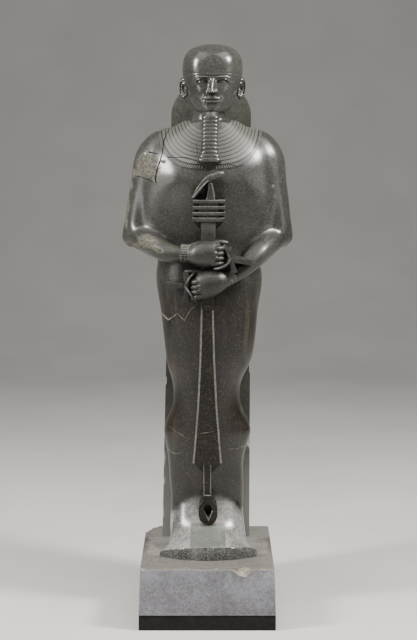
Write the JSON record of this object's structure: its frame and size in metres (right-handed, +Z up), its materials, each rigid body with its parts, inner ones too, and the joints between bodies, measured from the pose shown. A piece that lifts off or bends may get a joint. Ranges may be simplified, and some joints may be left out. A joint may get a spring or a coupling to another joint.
{
  "type": "standing god statue",
  "caption": "Standing wrapped god in polished dark stone with cap, straight beard and broad collar, holding a sceptre, against a round-topped back pillar on a base.",
  "frame": {"origin": "middle of the underside of the footing slab", "axes": "+Z up along the figure, -Y the way the figure faces, +X to the viewer's right"},
  "size_m": [0.603, 0.56, 2.018],
  "materials": {
    "polished_stone": "dark grey-green speckled stone, polished on the figure, dull on the pillar, tan and blue-grey on the base",
    "dark_slab": "smooth near-black slab, dull"
  },
  "bodies": {
    "root": {"statue": "polished_stone", "footing_slab": "dark_slab"}
  },
  "joints": []
}
